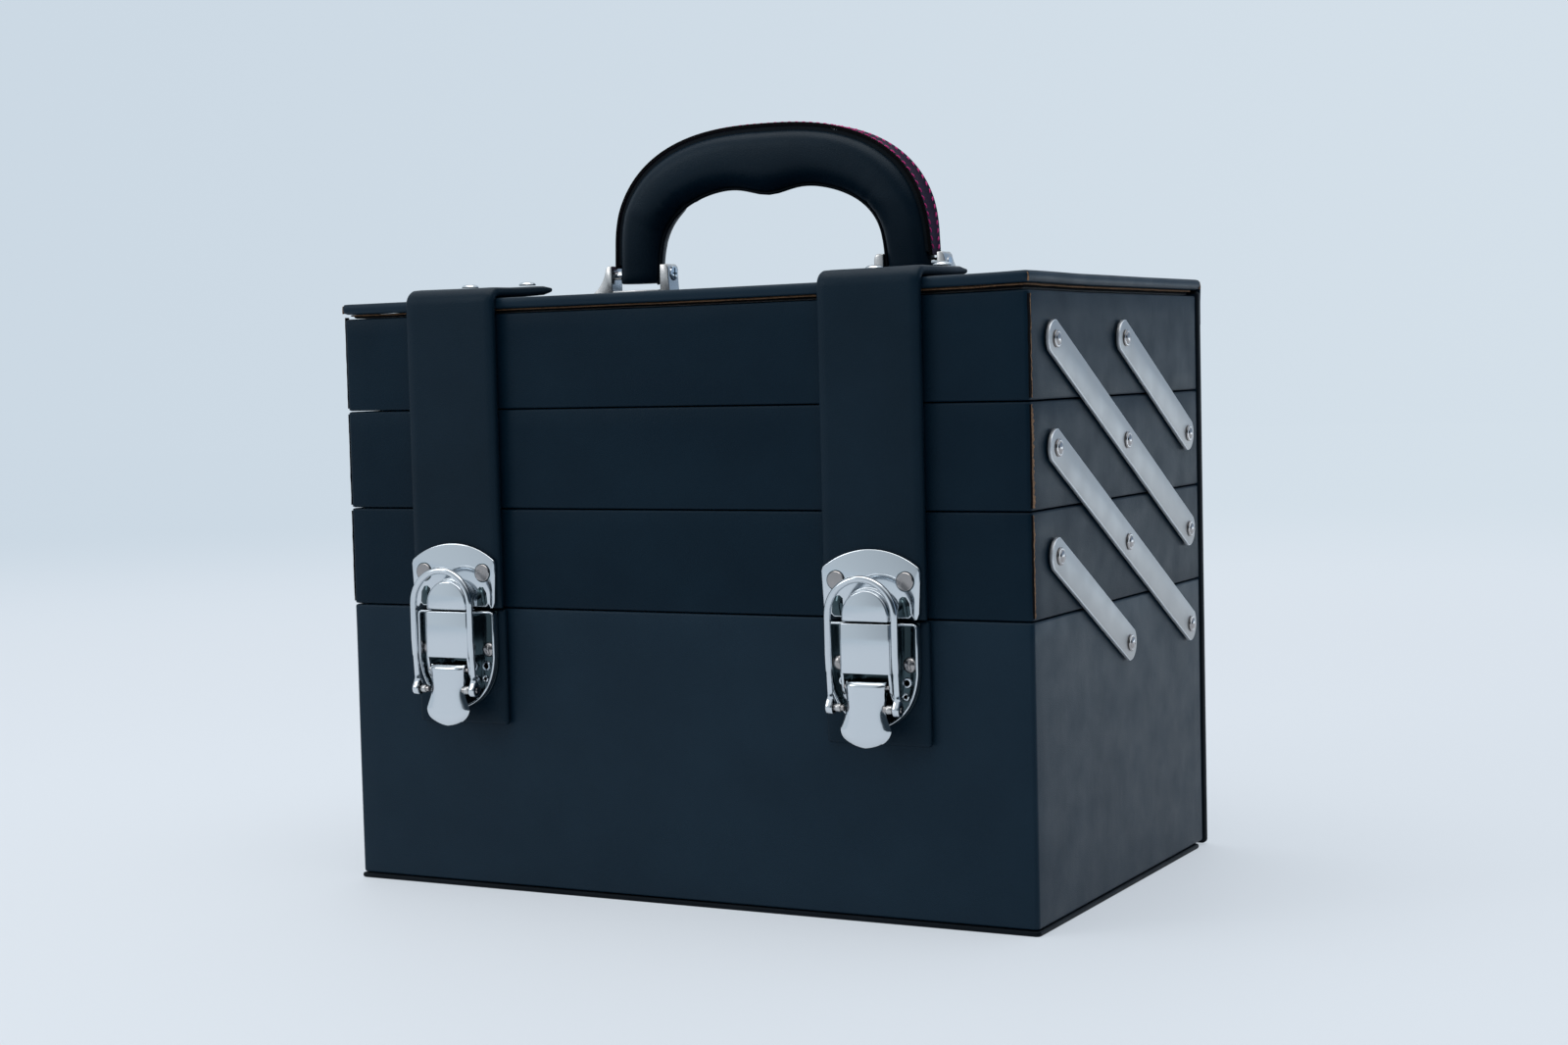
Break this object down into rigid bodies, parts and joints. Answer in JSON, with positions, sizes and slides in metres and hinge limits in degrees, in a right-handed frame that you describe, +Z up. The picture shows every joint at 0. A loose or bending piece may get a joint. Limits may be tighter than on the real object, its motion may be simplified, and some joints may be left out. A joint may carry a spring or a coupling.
{
  "type": "sewing box with trays",
  "caption": "Leather-covered sewing box whose lidded trays fan backwards in steps on flat links, with two strap latches and a padded arched handle.",
  "frame": {"origin": "centre of the underside of the base board", "axes": "+X to the right seen from the latches, +Y to the back, +Z up"},
  "size_m": [0.3074, 0.2073, 0.3069],
  "materials": {
    "leather": "satin",
    "strap_leather": "satin",
    "raw_edge": "matte",
    "nickel": "polished",
    "aluminium": "satin"
  },
  "bodies": {
    "base": {"bottom_box": "leather", "base_board": "leather", "latch_patch_left": "strap_leather", "latch_patch_right": "strap_leather", "latch_base_left": "nickel", "latch_base_right": "nickel", "rivet_box_middle_left": "aluminium", "rivet_box_middle_right": "aluminium", "rivet_box_rear_left": "aluminium", "rivet_box_rear_right": "aluminium"},
    "lower_links": {"long_link_lower_left": "aluminium", "long_link_lower_right": "aluminium"},
    "lower_tray": {"tray_lower": "leather", "rivet_lower_front_left": "aluminium", "rivet_lower_front_right": "aluminium", "rivet_lower_middle_left": "aluminium", "rivet_lower_middle_right": "aluminium", "rivet_lower_rear_left": "aluminium", "rivet_lower_rear_right": "aluminium"},
    "upper_links": {"long_link_upper_left": "aluminium", "long_link_upper_right": "aluminium"},
    "middle_tray": {"tray_middle": "leather", "rivet_middle_front_left": "aluminium", "rivet_middle_front_right": "aluminium", "rivet_middle_middle_left": "aluminium", "rivet_middle_middle_right": "aluminium", "rivet_middle_rear_left": "aluminium", "rivet_middle_rear_right": "aluminium"},
    "upper_tray": {"tray_upper": "leather", "back_board": "leather", "rivet_upper_front_left": "aluminium", "rivet_upper_front_right": "aluminium", "rivet_upper_middle_left": "aluminium", "rivet_upper_middle_right": "aluminium"},
    "short_upper_links": {"short_link_upper_left": "aluminium", "short_link_upper_right": "aluminium"},
    "short_lower_links": {"short_link_lower_left": "aluminium", "short_link_lower_right": "aluminium"},
    "lid": {"lid": "leather", "lid_lining": "raw_edge", "strap_tab_left": "strap_leather", "strap_tab_right": "strap_leather", "tab_rivet_outer_left": "nickel", "tab_rivet_outer_right": "nickel", "tab_rivet_inner_left": "nickel", "tab_rivet_inner_right": "nickel", "handle_bracket_left": "nickel", "handle_bracket_right": "nickel"},
    "straps": {"strap_left": "strap_leather", "strap_right": "strap_leather", "catch_plate_left": "nickel", "catch_plate_right": "nickel"},
    "handle": {"handle_pad": "leather", "handle_band": "strap_leather", "handle_screw_left": "nickel", "handle_screw_right": "nickel"},
    "lever_left": {"latch_lever_left": "nickel"},
    "lever_right": {"latch_lever_right": "nickel"},
    "loop_left": {"latch_loop_left": "nickel"},
    "loop_right": {"latch_loop_right": "nickel"}
  },
  "joints": [
    {"name": "trays_fan", "type": "hinge", "parent": "base", "child": "lower_links", "pos_m": [0, 0.074, 0.0961], "axis": [-1, 0, 0], "range_deg": [0, 122.5]},
    {"name": "lower_tray_level", "type": "hinge", "parent": "lower_links", "child": "lower_tray", "pos_m": [0, 0.0015, 0.1355], "axis": [-1, 0, 0], "range_deg": [-123, 0]},
    {"name": "upper_links_swing", "type": "hinge", "parent": "lower_tray", "child": "upper_links", "pos_m": [0, 0.074, 0.1355], "axis": [-1, 0, 0], "range_deg": [0, 123]},
    {"name": "middle_tray_level", "type": "hinge", "parent": "upper_links", "child": "middle_tray", "pos_m": [0, 0.0015, 0.1749], "axis": [-1, 0, 0], "range_deg": [-123, 0]},
    {"name": "upper_tray_level", "type": "hinge", "parent": "upper_links", "child": "upper_tray", "pos_m": [0, -0.071, 0.2143], "axis": [-1, 0, 0], "range_deg": [-123, 0]},
    {"name": "short_upper_links_swing", "type": "hinge", "parent": "middle_tray", "child": "short_upper_links", "pos_m": [0, 0.074, 0.1749], "axis": [-1, 0, 0], "range_deg": [0, 123]},
    {"name": "short_lower_links_swing", "type": "hinge", "parent": "base", "child": "short_lower_links", "pos_m": [0, 0.0015, 0.0961], "axis": [-1, 0, 0], "range_deg": [0, 123]},
    {"name": "lid_hinge", "type": "hinge", "parent": "upper_tray", "child": "lid", "pos_m": [0, 0.0976, 0.2338], "axis": [-1, 0, 0], "range_deg": [0, 95]},
    {"name": "straps_swing", "type": "hinge", "parent": "lid", "child": "straps", "pos_m": [0, -0.0957, 0.236], "axis": [-1, 0, 0], "range_deg": [0, 98.5]},
    {"name": "handle_fold", "type": "hinge", "parent": "lid", "child": "handle", "pos_m": [0, 0, 0.2465], "axis": [-1, 0, 0], "range_deg": [-80, 80]},
    {"name": "lever_left_turn", "type": "hinge", "parent": "base", "child": "lever_left", "pos_m": [-0.095, -0.1042, 0.0896], "axis": [-1, 0, 0], "range_deg": [0, 95.5]},
    {"name": "loop_left_turn", "type": "hinge", "parent": "lever_left", "child": "loop_left", "pos_m": [-0.095, -0.1069, 0.082], "axis": [-1, 0, 0], "range_deg": [-285.5, 0]},
    {"name": "lever_right_turn", "type": "hinge", "parent": "base", "child": "lever_right", "pos_m": [0.0892, -0.1042, 0.0896], "axis": [-1, 0, 0], "range_deg": [0, 95.5]},
    {"name": "loop_right_turn", "type": "hinge", "parent": "lever_right", "child": "loop_right", "pos_m": [0.0892, -0.1069, 0.082], "axis": [-1, 0, 0], "range_deg": [-285.5, 0]}
  ],
  "couplings": [
    {"joint": "lower_tray_level", "follows": "trays_fan", "ratio": -1},
    {"joint": "upper_links_swing", "follows": "trays_fan", "ratio": 1},
    {"joint": "middle_tray_level", "follows": "trays_fan", "ratio": -1},
    {"joint": "upper_tray_level", "follows": "trays_fan", "ratio": -1},
    {"joint": "short_upper_links_swing", "follows": "trays_fan", "ratio": 1},
    {"joint": "short_lower_links_swing", "follows": "trays_fan", "ratio": 1},
    {"joint": "straps_swing", "follows": "trays_fan", "ratio": 0.8},
    {"joint": "lever_left_turn", "follows": "lid_hinge", "ratio": 1},
    {"joint": "loop_left_turn", "follows": "lid_hinge", "ratio": -3},
    {"joint": "lever_right_turn", "follows": "lid_hinge", "ratio": 1},
    {"joint": "loop_right_turn", "follows": "lid_hinge", "ratio": -3}
  ]
}
